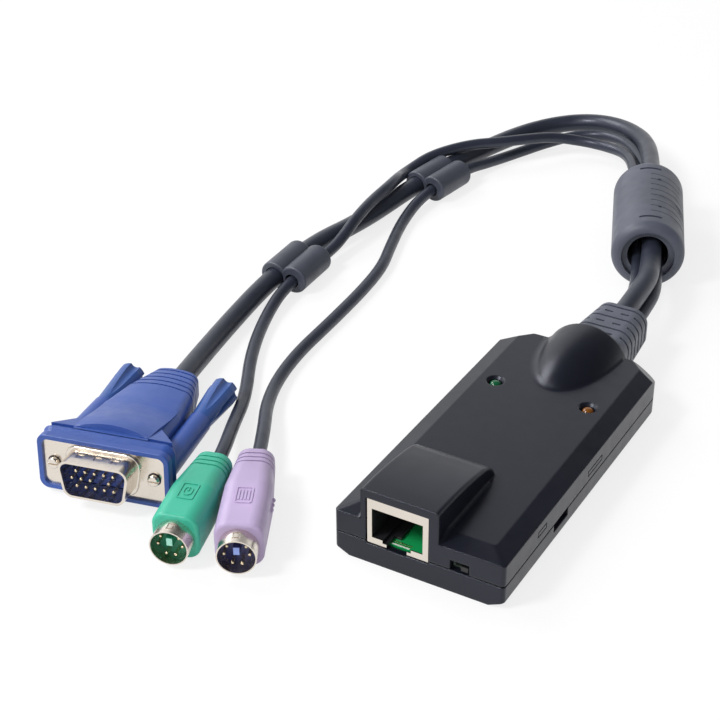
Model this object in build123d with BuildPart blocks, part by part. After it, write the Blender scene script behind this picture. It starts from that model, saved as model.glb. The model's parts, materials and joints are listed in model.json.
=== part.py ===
"""Server-side interface dongle: a two-shell case with a network jack, and three leads with plugs."""
from build123d import *
from math import cos, pi, radians, sin, tan
import os

# Case, in millimetres. Origin: centre of the case's footprint, +Y towards the cable end, +Z up.
CASE_WIDTH = 41.4
CASE_LENGTH = 88.3
SPLIT_HEIGHT = 5.7
WALL_TOP = 11.3
LID_TOP = 12.75
SLOPE_WIDTH = 4.2
REAR_SLOPE_WIDTH = 1.0
CASE_CORNER = 0.9
REAR_CORNER = 5.0
REAR_FACET_LENGTH = 5.9
REAR_FACET_DROP = 3.6
TRAY_CHAMFER_WIDTH = 3.6
TRAY_CHAMFER_HEIGHT = 1.7
WALL = 1.8
FLOOR = 2.0
TONGUE_HEIGHT = 0.9
TONGUE_THICKNESS = 0.8
FIT_GAP = 0.12
SPLIT_GROOVE = 0.35
PRY_SLOT = (7.6, 2.0, 1.1)
PRY_SLOT_Y = -15.25
OVERCUT = 1.0
SIDE_MARKS = ((3.4, 8.1, 8.1), (-25.5, 4.4, 8.8))
SIDE_MARK_HEIGHT = 1.5
SIDE_MARK_LINE = 0.3
SIDE_MARK_DEPTH = 0.25

# Hood over the network jack
HOOD_LEFT = -14.1
HOOD_RIGHT = 5.0
HOOD_TOP = 19.5
HOOD_SHOULDER = 17.3
HOOD_SHOULDER_AT = 22.0
HOOD_LENGTH = 27.6
HOOD_SAG = 0.6
HOOD_WALL = 1.2
HOOD_EDGE = 0.8

# Cable boss on the lid: a half bullet whose axis runs along +Y
BOSS_X = 1.0
BOSS_Z = 7.7
BOSS_RADIUS = 11.2
BOSS_LENGTH = 26.0

# Circuit board and what it carries
BOARD_TOP = 5.4
BOARD_THICKNESS = 1.6
BOARD_SIDE_GAP = 0.6
BOARD_FRONT_GAP = 0.35
BOARD_REAR_GAP = 9.75
POST_RADIUS = 1.7
PEG_RADIUS = 0.7
PEG_GAP = 0.1
PEG_HEIGHT = 0.6
POST_INSET = (2.8, 5.5)
MAIN_CHIP = (12.0, 12.0, 1.4)
MAIN_CHIP_INSET = 3.0
CHIPS_Y = 2.0
SMALL_CHIP = (5.0, 4.0, 1.2)
SMALL_CHIP_PITCH = (7.0, 9.0)
SMALL_CHIPS_INSET = 7.0

# Network jack
JACK_X = -5.1
JACK_WIDTH = 15.0
JACK_HEIGHT = 11.7
JACK_DEPTH = 14.6
JACK_SETBACK = 0.3
JACK_SKIN = 0.3
JACK_GAP = 0.25
JACK_CUT_CORNER = 0.3
PORT_WIDTH = 12.5
PORT_OFFSET = -0.1
PORT_SILL = 1.6
PORT_HEIGHT = 7.7
PORT_DEPTH = 11.6
LATCH_WIDTH = 7.0
LATCH_NARROW = 5.0
LATCH_OFFSET = -0.2
LATCH_STEP = 0.8
LATCH_DEPTH = 9.6
LATCH_MOUTH = 3.9
PORT_FLOOR_CUT = 7.3
CONTACT_COUNT = 8
CONTACT_PITCH = 1.02
CONTACT_SIZE = 0.36
CONTACT_START = 2.4
CONTACT_BEND = 3.2
CONTACT_DROP = 3.4
SCOOP_HEIGHT = 1.4
SCOOP_CORNER = 0.4

# Mode switch behind the front wall
SWITCH_INSET = 10.6
SWITCH_WIDTH = 6.4
SWITCH_DEPTH = 3.4
SWITCH_HEIGHT = 2.7
SWITCH_WALL_GAP = 0.15
SWITCH_SKIN = 0.5
WINDOW_WIDTH = 4.6
WINDOW_TOP = 8.5
SLIDER_WIDTH = 1.7
SLIDER_HEIGHT = 1.2
SLIDER_REACH = 1.5
SLIDER_TRAVEL = 2.0
SLIDER_GAP = 0.1
SLIDER_FOOT = 0.3
SLIDER_FOOT_DEPTH = 1.2

# Indicator lamps
LED_INSET = 8.5
LED_Y = 18.2
LED_RADIUS = 1.5
LED_TOP = 12.55
LED_BODY = 4.2
LED_GAP = 0.15
LED_DISH_RADIUS = 2.3
LED_DISH_ANGLE = 80
LED_DOME = 1.27
LEAD_SIZE = 0.5
LEAD_SPACING = 1.6

# Cables
VGA_CABLE = 5.6
PS2_CABLE = 3.4
BORE_GAP = 0.15
LOOSE_BORE_GAP = 0.4
ARC_SHARE = 0.45

# Strain-relief boot: sections are (width, height)
BOOT_X = 1.9
BOOT_Z = 8.6
BOOT_LENGTH = 20.7
BOOT_NEAR = (17.0, 13.0)
BOOT_FAR = (13.8, 11.6)
BOOT_CORNER = 3.9
BOOT_NECK = (12.6, 10.4)
BOOT_COLLAR = (14.4, 11.8)
BOOT_COLLAR_THICKNESS = 2.2
BOOT_ROWS = 6
BOOT_ROW_PITCH = 2.87
BOOT_ROW_INSET = 1.7
BOOT_GROOVE_WIDTH = 0.75
BOOT_GROOVE_DEPTH = 0.8
BOOT_GROOVE_DROP = 2.4
BOOT_SHOULDER = 2.6
BOOT_DASH = 2.2
BOOT_DASH_SPACING = 4.4

# Ferrite choke: a moulded cover round a sleeve of ferrite
FERRITE_NEAR = (-5.2, 100.3)
FERRITE_HEADING = 21.5
FERRITE_LENGTH = 42.0
FERRITE_RADIUS = 10.2
FERRITE_END_ROUND = 2.6
FERRITE_DISH_RADIUS = 7.4
FERRITE_DISH_DEPTH = 1.5
FERRITE_BORE = 5.7
CORE_RADIUS = 8.6
CORE_LENGTH = 30.0
CORE_GAP = 0.1
SLOT = (6.2, 1.0, 1.2)
SLOT_INSET = 5.3
VENT_RADIUS = 0.55
VENT_INSET = 12.2
VENT_X = 2.6
RING_COUNT = 8
RING_WIDTH = 0.35
RING_DEPTH = 0.25
RING_ARC = 95
RING_SPAN = 27.4

# Cable sleeves: two barrels side by side
SLEEVE_LENGTH = 15.5
SLEEVE_RADIUS = 4.1
SLEEVE_PITCH = 6.2
SLEEVE_EDGE = 0.7
UPPER_SLEEVE_AT = (-85.7, 128.2)
UPPER_SLEEVE_HEADING = -7.3
LOWER_SLEEVE_AT = (-93.9, 57.1)
LOWER_SLEEVE_HEADING = 2.5

# Video plug. Its own frame: origin in the middle of the metal flange's face, +Y towards its cable.
VGA_AT = (-76.5, -54.0, 8.15)
VGA_TURN = 13.0
VGA_TILT = -4.0
FRAME_WIDTH = 33.0
FRAME_HEIGHT = 15.2
FRAME_DEPTH = 6.2
FRAME_CORNER = 2.4
FRAME_LIP = 0.7
FRAME_RING = (33.0, 14.4)
FRAME_RING_END = 1.2
FRAME_STEP = (32.0, 14.0)
FRAME_STEP_END = 1.7
FRAME_RISE_END = 3.2
FRAME_BEVEL = 1.3
PLATE_WIDTH = 30.8
PLATE_HEIGHT = 12.5
PLATE_THICKNESS = 0.8
PLATE_CORNER = 1.6
PLATE_SHOWN = (30.4, 12.1)
PLATE_HOLE_RADIUS = 1.66
D_WIDTH = 18.1
D_HEIGHT = 9.5
D_LENGTH = 6.2
D_SKIN = 0.6
D_ROOT = (0.8, 0.7, 0.4)
D_CORNER = 2.5
D_SLANT = 10.0
DIMPLE = (1.7, 1.7, 0.2)
DIMPLE_SPACING = 4.3
PIN_PITCH = 2.29
ROW_PITCH = 1.98
PIN_RADIUS = 0.38
PIN_REACH = 5.3
PIN_GAP = 0.03
PIN_TIP = 0.27
PINS_ACROSS = 5
MISSING_PIN = 3
INSULATOR = (19.0, 10.4, 5.0)
HOOD_SECTIONS = ((4.4, 21.6, 13.9), (21.0, 20.6, 13.0), (32.0, 17.4, 11.5), (43.1, 11.8, 9.0))
HOOD_CROWN = 0.085
PLUG_HOOD_CORNER = 2.4
RIB_COUNT = 5
RIB_START = 32.4
RIB_PITCH = 2.35
RIB_WIDTH = 0.55
RIB_DEPTH = 0.45
SCREW_SPACING = 25.0
SCREW_RADIUS = 1.42
SCREW_TIP = 1.3
SCREW_DOME = 0.5
SCREW_GAP = 0.06
SCREW_SLOT = (0.4, 0.5)
BARREL_RADIUS = 3.4
BARREL_END_RADIUS = 2.9
KNOB_START = 27.4
KNOB_LENGTH = 16.6
KNOB_NECK_RADIUS = 2.6
KNOB_END_RADIUS = 3.7
KNOB_END_BAND = 2.6
KNOB_FLUTES = 5
KNOB_FLUTE_RADIUS = 1.45
KNOB_FLUTE_OUT = 0.5
KNOB_EDGE = 0.5
BARREL_GAP = 0.25

# Round plugs. Their own frame: origin in the middle of the shell's rim, +Y towards the cable.
MOUSE_AT = (-48.7, -67.8)
MOUSE_TURN = 15.5
MOUSE_BODY_LENGTH = 26.9
KEYBOARD_AT = (-34.1, -63.2)
KEYBOARD_TURN = 25.9
KEYBOARD_BODY_LENGTH = 30.7
DIN_SHELL_RADIUS = 4.5
DIN_SHELL_SKIN = 0.3
DIN_SHELL_REACH = 4.3
DIN_SHELL_SEAT = 4.0
DIN_LANCE = (1.6, 2.0)
DIN_LANCE_TAB = (1.0, 1.4)
DIN_FLOOR = 4.0
DIN_PIN_RADIUS = 0.36
DIN_PIN_RECESS = 1.0
DIN_PIN_TIP = 0.25
DIN_PINS = ((2.1, 2.2), (-2.1, 2.2), (2.8, 0.1), (-2.8, 0.1), (1.05, -2.3), (-1.05, -2.3))
DIN_KEY = (1.5, 2.2)
DIN_KEY_Z = 1.2
DIN_KEY_RECESS = 0.8
DIN_BODY_WIDTH = 11.0
DIN_BODY_HEIGHT = 11.4
DIN_BODY_CORNER = 3.2
DIN_BODY_REAR = 8.7
DIN_TAPER = 14.0
DIN_EDGE = 0.9
DIN_RING_INSETS = (2.0, 3.8, 5.6)
DIN_RING_WIDTH = 0.5
DIN_RING_DEPTH = 0.4
ICON_FRAME = (4.0, 5.9)
ICON_SHARE = 0.35
ICON_LINE = 0.35
ICON_HEIGHT = 0.2
ICON_CORNER = 0.6
ICON_ROW = 3.6
ICON_ROW_PITCH = 0.75
ICON_ROWS = 4
ICON_POINTER = (3.2, 2.2)
ICON_SPLIT = (0.7, 1.4)

# Header on the board where the leads end
HEADER_WIDTH = 12.0
HEADER_DEPTH = 5.0
HEADER_TOP = 10.8
HEADER_GAP = 0.2
LEADS_GAP = 0.4

FRONT = -CASE_LENGTH / 2
REAR = CASE_LENGTH / 2
BOARD_BOTTOM = BOARD_TOP - BOARD_THICKNESS
BOARD_FRONT = FRONT + WALL + BOARD_FRONT_GAP
BOARD_REAR = REAR - WALL - BOARD_REAR_GAP
BOARD_LENGTH = BOARD_REAR - BOARD_FRONT
BOARD_WIDTH = CASE_WIDTH - 2 * WALL - 2 * BOARD_SIDE_GAP
LEADS_START = BOARD_REAR + LEADS_GAP
JACK_FRONT = FRONT + JACK_SETBACK
PORT_X = JACK_X + PORT_OFFSET
PORT_BOTTOM = BOARD_TOP + PORT_SILL
LATCH_X = JACK_X + LATCH_OFFSET
LED_X = CASE_WIDTH / 2 - LED_INSET
SWITCH_X = CASE_WIDTH / 2 - SWITCH_INSET
SWITCH_FRONT = FRONT + WALL + SWITCH_WALL_GAP
SWITCH_MIDDLE_Z = BOARD_TOP + SWITCH_HEIGHT / 2
SLIDER_X = SWITCH_X + SLIDER_TRAVEL / 2
POST_X = BOARD_WIDTH / 2 - POST_INSET[0]
POSTS = [(x, y) for x in (-POST_X, POST_X) for y in (BOARD_FRONT + POST_INSET[1], BOARD_REAR - POST_INSET[1])]

# Lead routes: straight runs from point to point, joined by arcs
VGA_ROUTE = [
    (1.9, LEADS_START, 10.1), (1.9, 82.0, 11.9), (-19.1, 140.0, 11.6), (-28.5, 163.0, 9.8),
    (-36.0, 177.5, 8.6), (-44.5, 186.0, 7.4), (-53.8, 189.9, 6.2), (-62.8, 189.0, 5.0),
    (-70.6, 184.6, 4.0), (-76.6, 177.4, 3.2), (-81.0, 168.0, 2.8), (-84.6, 155.0, 2.8),
    (-87.2, 140.5, 3.8), (-90.2, 117.0, 3.8), (-93.1, 93.0, 2.8), (-97.37, 70.07, 3.8),
    (-96.23, 44.1, 3.8), (-94.2, 24.0, 2.8), (-90.6, 5.0, 3.4), (-86.6, -10.26, 5.01),
    (-83.9, -21.9, 5.85),
]
MOUSE_ROUTE = [
    (-1.1, LEADS_START, 6.0), (-1.1, 82.0, 7.8), (-23.9, 138.3, 9.0), (-32.9, 155.2, 8.0),
    (-40.7, 165.6, 6.6), (-49.0, 171.4, 5.4), (-57.3, 171.6, 5.4), (-64.5, 166.8, 7.6),
    (-69.5, 160.0, 9.4), (-76.5, 153.5, 10.2), (-84.0, 147.5, 10.9), (-90.0, 138.0, 10.9),
    (-94.8, 127.0, 8.4), (-97.4, 114.5, 5.2), (-96.8, 102.0, 7.4), (-93.2, 91.5, 10.2),
    (-89.6, 81.5, 8.8), (-90.6, 70.0, 3.8), (-91.0, 46.5, 3.8), (-88.0, 31.0, 1.8),
    (-81.0, 13.5, 1.7), (-71.0, -4.0, 1.7), (-64.9, -18.6, 3.9), (-58.3, -33.2, 5.7),
    (-55.51, -43.23, 5.7),
]
KEYBOARD_ROUTE = [
    (4.9, LEADS_START, 6.0), (4.9, 82.0, 7.6), (-19.9, 140.2, 6.6), (-29.9, 158.6, 6.6),
    (-38.3, 170.2, 6.6), (-46.5, 177.9, 5.8), (-55.0, 179.9, 4.6), (-63.0, 176.3, 3.4),
    (-69.5, 169.3, 2.2), (-74.6, 160.5, 1.7), (-78.6, 150.0, 2.2), (-81.6, 138.5, 3.8),
    (-84.6, 116.0, 3.8), (-83.6, 101.0, 1.7), (-78.3, 83.5, 1.7), (-74.3, 64.0, 1.7),
    (-71.5, 40.0, 1.7), (-70.6, 17.0, 1.7), (-65.8, -2.0, 1.9), (-54.63, -20.92, 4.8),
    (-47.2, -36.2, 5.7),
]


def save(piece, name, place=None):
    """Label a finished piece, put it where it lies and write it."""
    done = piece if place is None else piece.moved(place)
    done.label = name
    os.makedirs("parts", exist_ok=True)
    export_step(done, f"parts/{name}.step")


def across(y):
    """A plane across the case or a plug at y: X to the right, Y up, extruding towards -Y."""
    return Plane(origin=(0, y, 0), x_dir=(1, 0, 0), z_dir=(0, -1, 0))


def case_plan(sides, front, rear):
    """Plan of the case shrunk at its sides, front and rear, its rear corners the larger ones."""
    with BuildSketch(mode=Mode.PRIVATE) as plan:
        with Locations((0, (front - rear) / 2)):
            Rectangle(CASE_WIDTH - 2 * sides, CASE_LENGTH - front - rear)
        fillet(plan.vertices().group_by(Axis.Y)[0], CASE_CORNER)
        fillet(plan.vertices().group_by(Axis.Y)[-1], REAR_CORNER - rear)
    return plan.sketch


def bar(width, height, y0, y1, x=0.0, z=0.0, corner=0.0):
    """A bar along Y from y0 to y1, with rounded long edges if it has a corner radius."""
    with BuildPart() as piece:
        with BuildSketch(across(y1)):
            with Locations((x, z)):
                if corner > 0:
                    RectangleRounded(width, height, corner)
                else:
                    Rectangle(width, height)
        extrude(amount=y1 - y0)
    return piece.part


def plug_place(origin, turn, tilt=0.0):
    """Where a plug lies: turned about Z, then tilted, its cable end going down for a minus tilt."""
    right = (cos(radians(turn)), sin(radians(turn)), 0)
    ahead = (-sin(radians(turn)), cos(radians(turn)))
    up = (-sin(radians(tilt)) * ahead[0], -sin(radians(tilt)) * ahead[1], cos(radians(tilt)))
    return Plane(origin=origin, x_dir=right, z_dir=up).location


def arc_radii(points):
    """One radius for each corner of a route, as large as ARC_SHARE of its shorter run allows."""
    corners = [Vector(*p) for p in points]
    radii = []
    for before, here, after in zip(corners, corners[1:], corners[2:]):
        run_in = here - before
        run_out = after - here
        half_turn = radians(run_in.get_angle(run_out)) / 2
        radii.append(ARC_SHARE * min(run_in.length, run_out.length) / tan(half_turn))
    return radii


def tube(points, diameter):
    """A round lead along a route."""
    with BuildPart() as lead:
        with BuildLine() as path:
            FilletPolyline(*points, radius=arc_radii(points))
        with BuildSketch(Plane(origin=path.line @ 0, z_dir=path.line % 0)):
            Circle(diameter / 2)
        sweep(path=path.line)
    return lead.part


def lead_with_report(points, diameter, name):
    """Make a lead, print its arcs and compare its volume with section times length."""
    lead = tube(points, diameter)
    length = FilletPolyline(*points, radius=arc_radii(points), mode=Mode.PRIVATE).length
    section = pi * diameter ** 2 / 4
    radii = " ".join(f"{radius:.0f}" for radius in arc_radii(points))
    print(f"{name}: length {length:.1f}, volume ratio {lead.volume / section / length:.4f}, radii {radii}")
    save(lead, name)


# Leads
lead_with_report(VGA_ROUTE, VGA_CABLE, "vga_cable")
lead_with_report(MOUSE_ROUTE, PS2_CABLE, "mouse_cable")
lead_with_report(KEYBOARD_ROUTE, PS2_CABLE, "keyboard_cable")
vga_bore = tube(VGA_ROUTE, VGA_CABLE + 2 * BORE_GAP)
mouse_bore = tube(MOUSE_ROUTE, PS2_CABLE + 2 * BORE_GAP)
keyboard_bore = tube(KEYBOARD_ROUTE, PS2_CABLE + 2 * BORE_GAP)
mouse_loose_bore = tube(MOUSE_ROUTE, PS2_CABLE + 2 * LOOSE_BORE_GAP)
keyboard_loose_bore = tube(KEYBOARD_ROUTE, PS2_CABLE + 2 * LOOSE_BORE_GAP)

# Openings that both shells share: the jack, the switch and the boot's neck
jack_cut = bar(JACK_WIDTH + 2 * JACK_GAP, JACK_HEIGHT + 2 * JACK_GAP, FRONT - OVERCUT, FRONT + WALL + OVERCUT,
               JACK_X, BOARD_TOP + JACK_HEIGHT / 2, JACK_CUT_CORNER)
window_cut = bar(WINDOW_WIDTH, WINDOW_TOP - SPLIT_HEIGHT, FRONT - OVERCUT, FRONT + WALL + OVERCUT,
                 SWITCH_X, (WINDOW_TOP + SPLIT_HEIGHT) / 2)
neck_cut = bar(BOOT_NECK[0] + 2 * FIT_GAP, BOOT_NECK[1] + 2 * FIT_GAP, REAR - WALL - OVERCUT, REAR + OVERCUT,
               BOOT_X, BOOT_Z, BOOT_CORNER)
tongue_inset = WALL - TONGUE_THICKNESS
groove_inset = tongue_inset - FIT_GAP

# Lower case: tray with a tongue round its rim, and posts and pegs for the board
with BuildPart() as lower_case:
    with BuildSketch():
        add(case_plan(0, 0, 0))
    extrude(amount=SPLIT_HEIGHT)
    with BuildSketch(Plane.XY.offset(SPLIT_HEIGHT)):
        add(case_plan(tongue_inset, tongue_inset, tongue_inset))
    extrude(amount=TONGUE_HEIGHT)
    with BuildSketch(Plane.XY.offset(FLOOR)):
        add(case_plan(WALL, WALL, WALL))
    extrude(amount=SPLIT_HEIGHT, mode=Mode.SUBTRACT)
    for side in (-1, 1):
        edge = side * CASE_WIDTH / 2
        with BuildSketch(across(REAR + OVERCUT)):
            with BuildLine():
                Polyline((edge - side * TRAY_CHAMFER_WIDTH, 0), (edge, TRAY_CHAMFER_HEIGHT),
                         (edge + side, TRAY_CHAMFER_HEIGHT), (edge + side, -OVERCUT),
                         (edge - side * TRAY_CHAMFER_WIDTH, -OVERCUT), close=True)
            make_face()
        extrude(amount=CASE_LENGTH + 2 * OVERCUT, mode=Mode.SUBTRACT)
    with BuildSketch(Plane.XY.offset(FLOOR)):
        with Locations(POSTS):
            Circle(POST_RADIUS)
    extrude(amount=BOARD_BOTTOM - FLOOR)
    with BuildSketch(Plane.XY.offset(BOARD_BOTTOM)):
        with Locations(POSTS):
            Circle(PEG_RADIUS)
    extrude(amount=BOARD_THICKNESS + PEG_HEIGHT)
    add(jack_cut, mode=Mode.SUBTRACT)
    add(window_cut, mode=Mode.SUBTRACT)
    add(neck_cut, mode=Mode.SUBTRACT)
    with BuildSketch(Plane.YZ.offset(CASE_WIDTH / 2)):
        with Locations((PRY_SLOT_Y, SPLIT_HEIGHT - PRY_SLOT[1] / 2)):
            Rectangle(PRY_SLOT[0], PRY_SLOT[1])
    extrude(amount=-PRY_SLOT[2], mode=Mode.SUBTRACT)
    with BuildSketch(across(FRONT + WALL + OVERCUT)):
        with Locations((LATCH_X, SPLIT_HEIGHT)):
            RectangleRounded(LATCH_NARROW, SCOOP_HEIGHT, SCOOP_CORNER)
    extrude(amount=WALL + 2 * OVERCUT, mode=Mode.SUBTRACT)
save(lower_case.part, "lower_case")


def hood_solid(left, right, inset, front):
    """The jack hood's form between two sides, its outline set in by inset."""
    top = HOOD_TOP - inset
    shoulder = HOOD_SHOULDER - inset
    shoulder_y = FRONT + HOOD_SHOULDER_AT - inset / 2
    end = FRONT + HOOD_LENGTH - inset
    base = SPLIT_HEIGHT + TONGUE_HEIGHT + FIT_GAP
    with BuildPart() as hood:
        with BuildSketch(Plane.YZ.offset(left)):
            with BuildLine():
                middle = ((front + shoulder_y) / 2, (top + shoulder) / 2 + HOOD_SAG)
                crest = ThreePointArc((front, top), middle, (shoulder_y, shoulder))
                TangentArc((shoulder_y, shoulder), (end, LID_TOP - inset), tangent=crest % 1)
                Polyline((end, LID_TOP - inset), (end, base), (front, base), (front, top))
            make_face()
        extrude(amount=right - left)
    return hood.part


def boss_solid(radius, length, rear):
    """Half bullet of the cable boss, blunt at rear, with its nose length ahead of the case's rear face."""
    with BuildPart() as bullet:
        with BuildSketch(Plane.YZ.offset(BOSS_X)):
            with BuildLine():
                EllipticalCenterArc((REAR, BOSS_Z), length, radius, start_angle=90, arc_size=90)
                Line((REAR - length, BOSS_Z), (REAR, BOSS_Z))
                Line((REAR, BOSS_Z), (REAR, BOSS_Z + radius))
            make_face()
        revolve(axis=Axis((BOSS_X, REAR, BOSS_Z), (0, 1, 0)))
        with BuildSketch(Plane.XY.offset(SPLIT_HEIGHT + TONGUE_HEIGHT + FIT_GAP)):
            with Locations((BOSS_X, rear - CASE_LENGTH / 2)):
                Rectangle(CASE_WIDTH, CASE_LENGTH)
        extrude(amount=2 * radius, mode=Mode.INTERSECT)
    return bullet.part


with BuildPart() as hood_form:
    add(hood_solid(HOOD_LEFT, HOOD_RIGHT, 0, FRONT))
    fillet(hood_form.edges().filter_by(GeomType.CIRCLE), HOOD_EDGE)
hood_body = hood_form.part
hood_hollow = hood_solid(HOOD_LEFT + HOOD_WALL, HOOD_RIGHT - HOOD_WALL, HOOD_WALL, FRONT + WALL)
boss_body = boss_solid(BOSS_RADIUS, BOSS_LENGTH, REAR)
boss_hollow = boss_solid(BOSS_RADIUS - WALL, BOSS_LENGTH - WALL, REAR - WALL)

# Upper case: lid with sloped edges, the jack hood and the cable boss
with BuildPart() as upper_case:
    with BuildSketch(Plane.XY.offset(SPLIT_HEIGHT)):
        add(case_plan(0, 0, 0))
    extrude(amount=WALL_TOP - SPLIT_HEIGHT)
    with BuildSketch(Plane.XY.offset(WALL_TOP)):
        add(case_plan(0, 0, 0))
    with BuildSketch(Plane.XY.offset(LID_TOP)):
        add(case_plan(SLOPE_WIDTH, SLOPE_WIDTH, REAR_SLOPE_WIDTH))
    loft(ruled=True)
    for side in (-1, 1):
        corner = Vector(side * CASE_WIDTH / 2, REAR, WALL_TOP - REAR_FACET_DROP)
        along_rear = Vector(side * (CASE_WIDTH / 2 - REAR_FACET_LENGTH), REAR, WALL_TOP) - corner
        along_side = Vector(side * CASE_WIDTH / 2, REAR - REAR_FACET_LENGTH, WALL_TOP) - corner
        outward = along_rear.cross(along_side) * side
        with BuildSketch(Plane(origin=corner, x_dir=along_rear, z_dir=outward)):
            Rectangle(CASE_WIDTH, CASE_WIDTH)
        extrude(amount=CASE_WIDTH, mode=Mode.SUBTRACT)
    add(boss_body)
    add(hood_body)
    with BuildSketch(Plane.XY.offset(SPLIT_HEIGHT)):
        add(case_plan(WALL, WALL, WALL))
    extrude(amount=LID_TOP - WALL - SPLIT_HEIGHT, mode=Mode.SUBTRACT)
    with BuildSketch(Plane.XY.offset(SPLIT_HEIGHT)):
        add(case_plan(groove_inset, groove_inset, groove_inset))
    extrude(amount=TONGUE_HEIGHT + FIT_GAP, mode=Mode.SUBTRACT)
    with BuildSketch(Plane.XY.offset(SPLIT_HEIGHT)):
        Rectangle(CASE_WIDTH + OVERCUT, CASE_LENGTH + OVERCUT)
        add(case_plan(SPLIT_GROOVE, SPLIT_GROOVE, SPLIT_GROOVE), mode=Mode.SUBTRACT)
    extrude(amount=SPLIT_GROOVE, mode=Mode.SUBTRACT)
    add(boss_hollow, mode=Mode.SUBTRACT)
    add(hood_hollow, mode=Mode.SUBTRACT)
    add(jack_cut, mode=Mode.SUBTRACT)
    add(window_cut, mode=Mode.SUBTRACT)
    add(neck_cut, mode=Mode.SUBTRACT)
    with BuildSketch(Plane.YZ.offset(CASE_WIDTH / 2)):
        for mark_y, mark_length, mark_z in SIDE_MARKS:
            with Locations((mark_y, mark_z)):
                Rectangle(mark_length, SIDE_MARK_HEIGHT)
                Rectangle(mark_length - 2 * SIDE_MARK_LINE, SIDE_MARK_HEIGHT - 2 * SIDE_MARK_LINE,
                          mode=Mode.SUBTRACT)
    extrude(amount=-SIDE_MARK_DEPTH, mode=Mode.SUBTRACT)
    with Locations((-LED_X, LED_Y, LID_TOP), (LED_X, LED_Y, LID_TOP)):
        CounterSinkHole(LED_RADIUS + LED_GAP, LED_DISH_RADIUS, counter_sink_angle=LED_DISH_ANGLE)
save(upper_case.part, "upper_case")


# Circuit board and the parts soldered to it
with BuildPart() as circuit_board:
    with BuildSketch(Plane.XY.offset(BOARD_BOTTOM)):
        with Locations((0, BOARD_FRONT + BOARD_LENGTH / 2)):
            Rectangle(BOARD_WIDTH, BOARD_LENGTH)
        with Locations(POSTS):
            Circle(PEG_RADIUS + PEG_GAP, mode=Mode.SUBTRACT)
    extrude(amount=BOARD_THICKNESS)
save(circuit_board.part, "circuit_board")

with BuildPart() as main_chip:
    with BuildSketch(Plane.XY.offset(BOARD_TOP)):
        with Locations((MAIN_CHIP_INSET + (MAIN_CHIP[0] - BOARD_WIDTH) / 2, CHIPS_Y)):
            Rectangle(MAIN_CHIP[0], MAIN_CHIP[1])
    extrude(amount=MAIN_CHIP[2])
save(main_chip.part, "main_chip")

with BuildPart() as small_chips:
    with BuildSketch(Plane.XY.offset(BOARD_TOP)):
        with Locations((BOARD_WIDTH / 2 - SMALL_CHIPS_INSET, CHIPS_Y)):
            with GridLocations(SMALL_CHIP_PITCH[0], SMALL_CHIP_PITCH[1], 2, 2):
                Rectangle(SMALL_CHIP[0], SMALL_CHIP[1])
    extrude(amount=SMALL_CHIP[2])
save(small_chips.part, "small_chips")

cable_header = bar(HEADER_WIDTH, HEADER_TOP - BOARD_TOP, LEADS_START - HEADER_GAP - HEADER_DEPTH,
                   LEADS_START - HEADER_GAP,
                   BOOT_X, (HEADER_TOP + BOARD_TOP) / 2)
save(cable_header, "cable_header")


def lamp(x):
    """A round indicator lamp on two legs, its domed top in the lid's dish."""
    with BuildPart() as piece:
        with BuildSketch(Plane.XY.offset(LED_TOP - LED_BODY)):
            with Locations((x, LED_Y)):
                Circle(LED_RADIUS)
        extrude(amount=LED_BODY)
        fillet(piece.faces().sort_by(Axis.Z)[-1].edges(), LED_DOME)
        with BuildSketch(Plane.XY.offset(BOARD_TOP)):
            with Locations((x, LED_Y)):
                with GridLocations(LEAD_SPACING, 1, 2, 1):
                    Rectangle(LEAD_SIZE, LEAD_SIZE)
        extrude(amount=LED_TOP - LED_BODY - BOARD_TOP)
    return piece.part


save(lamp(-LED_X), "link_led")
save(lamp(LED_X), "power_led")

# Network jack: a plated shield, a moulded insert with the port, and the spring contacts
port_cut = bar(PORT_WIDTH, PORT_HEIGHT, JACK_FRONT - OVERCUT, JACK_FRONT + PORT_DEPTH,
               PORT_X, PORT_BOTTOM + PORT_HEIGHT / 2)
latch_cut = bar(LATCH_WIDTH, 2 * LATCH_STEP, JACK_FRONT - OVERCUT, JACK_FRONT + LATCH_DEPTH,
                LATCH_X, PORT_BOTTOM)
narrow_cut = bar(LATCH_NARROW, PORT_SILL, JACK_FRONT - OVERCUT, JACK_FRONT + LATCH_MOUTH,
                 LATCH_X, BOARD_TOP + PORT_SILL / 2)
with BuildPart() as jack_shield:
    add(bar(JACK_WIDTH, JACK_HEIGHT, JACK_FRONT, JACK_FRONT + JACK_DEPTH, JACK_X,
            BOARD_TOP + JACK_HEIGHT / 2))
    add(bar(JACK_WIDTH - 2 * JACK_SKIN, JACK_HEIGHT - JACK_SKIN, JACK_FRONT + JACK_SKIN,
            JACK_FRONT + JACK_DEPTH - JACK_SKIN, JACK_X, BOARD_TOP + (JACK_HEIGHT - JACK_SKIN) / 2),
        mode=Mode.SUBTRACT)
    add(port_cut, mode=Mode.SUBTRACT)
    add(latch_cut, mode=Mode.SUBTRACT)
    add(narrow_cut, mode=Mode.SUBTRACT)
save(jack_shield.part, "jack_shield")

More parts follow.
